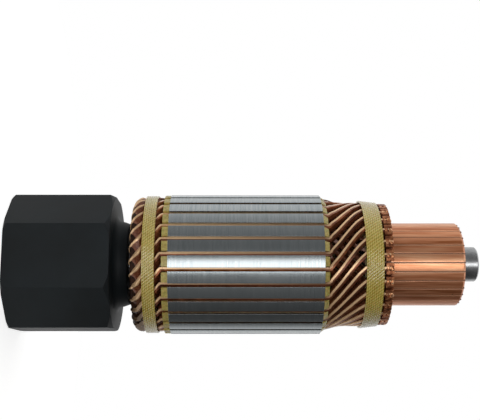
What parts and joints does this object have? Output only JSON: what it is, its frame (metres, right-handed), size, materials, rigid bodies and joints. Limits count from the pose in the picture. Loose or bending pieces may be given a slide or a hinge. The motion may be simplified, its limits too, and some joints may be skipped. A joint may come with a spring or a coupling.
{
  "type": "motor armature",
  "caption": "Starter motor armature: slotted laminated core with copper strip winding, glass tape bands, commutator, steel shaft and a moulded cap on the drive end.",
  "frame": {"origin": "on the shaft's centre line, at the end face of the protective cap, on which the part stands", "axes": "+Z along the shaft, from the protective cap on the drive end to the commutator; +X through the middle of a slot, to about a degree"},
  "size_m": [0.076, 0.076, 0.2518],
  "materials": {
    "black_plastic": "matte moulded black",
    "ground_steel": "ground",
    "silicon_steel": "turned laminations",
    "fibre": "pressed fibre, resin soaked",
    "paper": "insulating paper",
    "glass_tape": "woven glass tape in resin",
    "commutator_copper": "turned copper",
    "mica": "split mica",
    "bush_steel": "turned",
    "phenolic": "moulded phenolic resin",
    "winding_copper": "varnished bare copper strip"
  },
  "bodies": {
    "root": {"protective_cap": "black_plastic", "shaft": "ground_steel", "lamination_stack": "silicon_steel", "drive_end_disc": "fibre", "commutator_end_disc": "fibre", "slot_liners": "paper", "layer_strips": "paper", "drive_end_layer_ring": "paper", "commutator_end_layer_ring": "paper", "drive_end_sleeve": "paper", "commutator_end_sleeve": "paper", "drive_end_band": "glass_tape", "commutator_end_band": "glass_tape", "commutator_segments": "commutator_copper", "mica_strips": "mica", "commutator_bush": "bush_steel", "commutator_moulding": "phenolic", "coil_01": "winding_copper", "coil_02": "winding_copper", "coil_03": "winding_copper", "coil_04": "winding_copper", "coil_05": "winding_copper", "coil_06": "winding_copper", "coil_07": "winding_copper", "coil_08": "winding_copper", "coil_09": "winding_copper", "coil_10": "winding_copper", "coil_11": "winding_copper", "coil_12": "winding_copper", "coil_13": "winding_copper", "coil_14": "winding_copper", "coil_15": "winding_copper", "coil_16": "winding_copper", "coil_17": "winding_copper", "coil_18": "winding_copper", "coil_19": "winding_copper", "coil_20": "winding_copper", "coil_21": "winding_copper", "coil_22": "winding_copper", "coil_23": "winding_copper", "coil_24": "winding_copper", "coil_25": "winding_copper", "coil_26": "winding_copper", "coil_27": "winding_copper", "coil_28": "winding_copper", "coil_29": "winding_copper"}
  },
  "joints": []
}
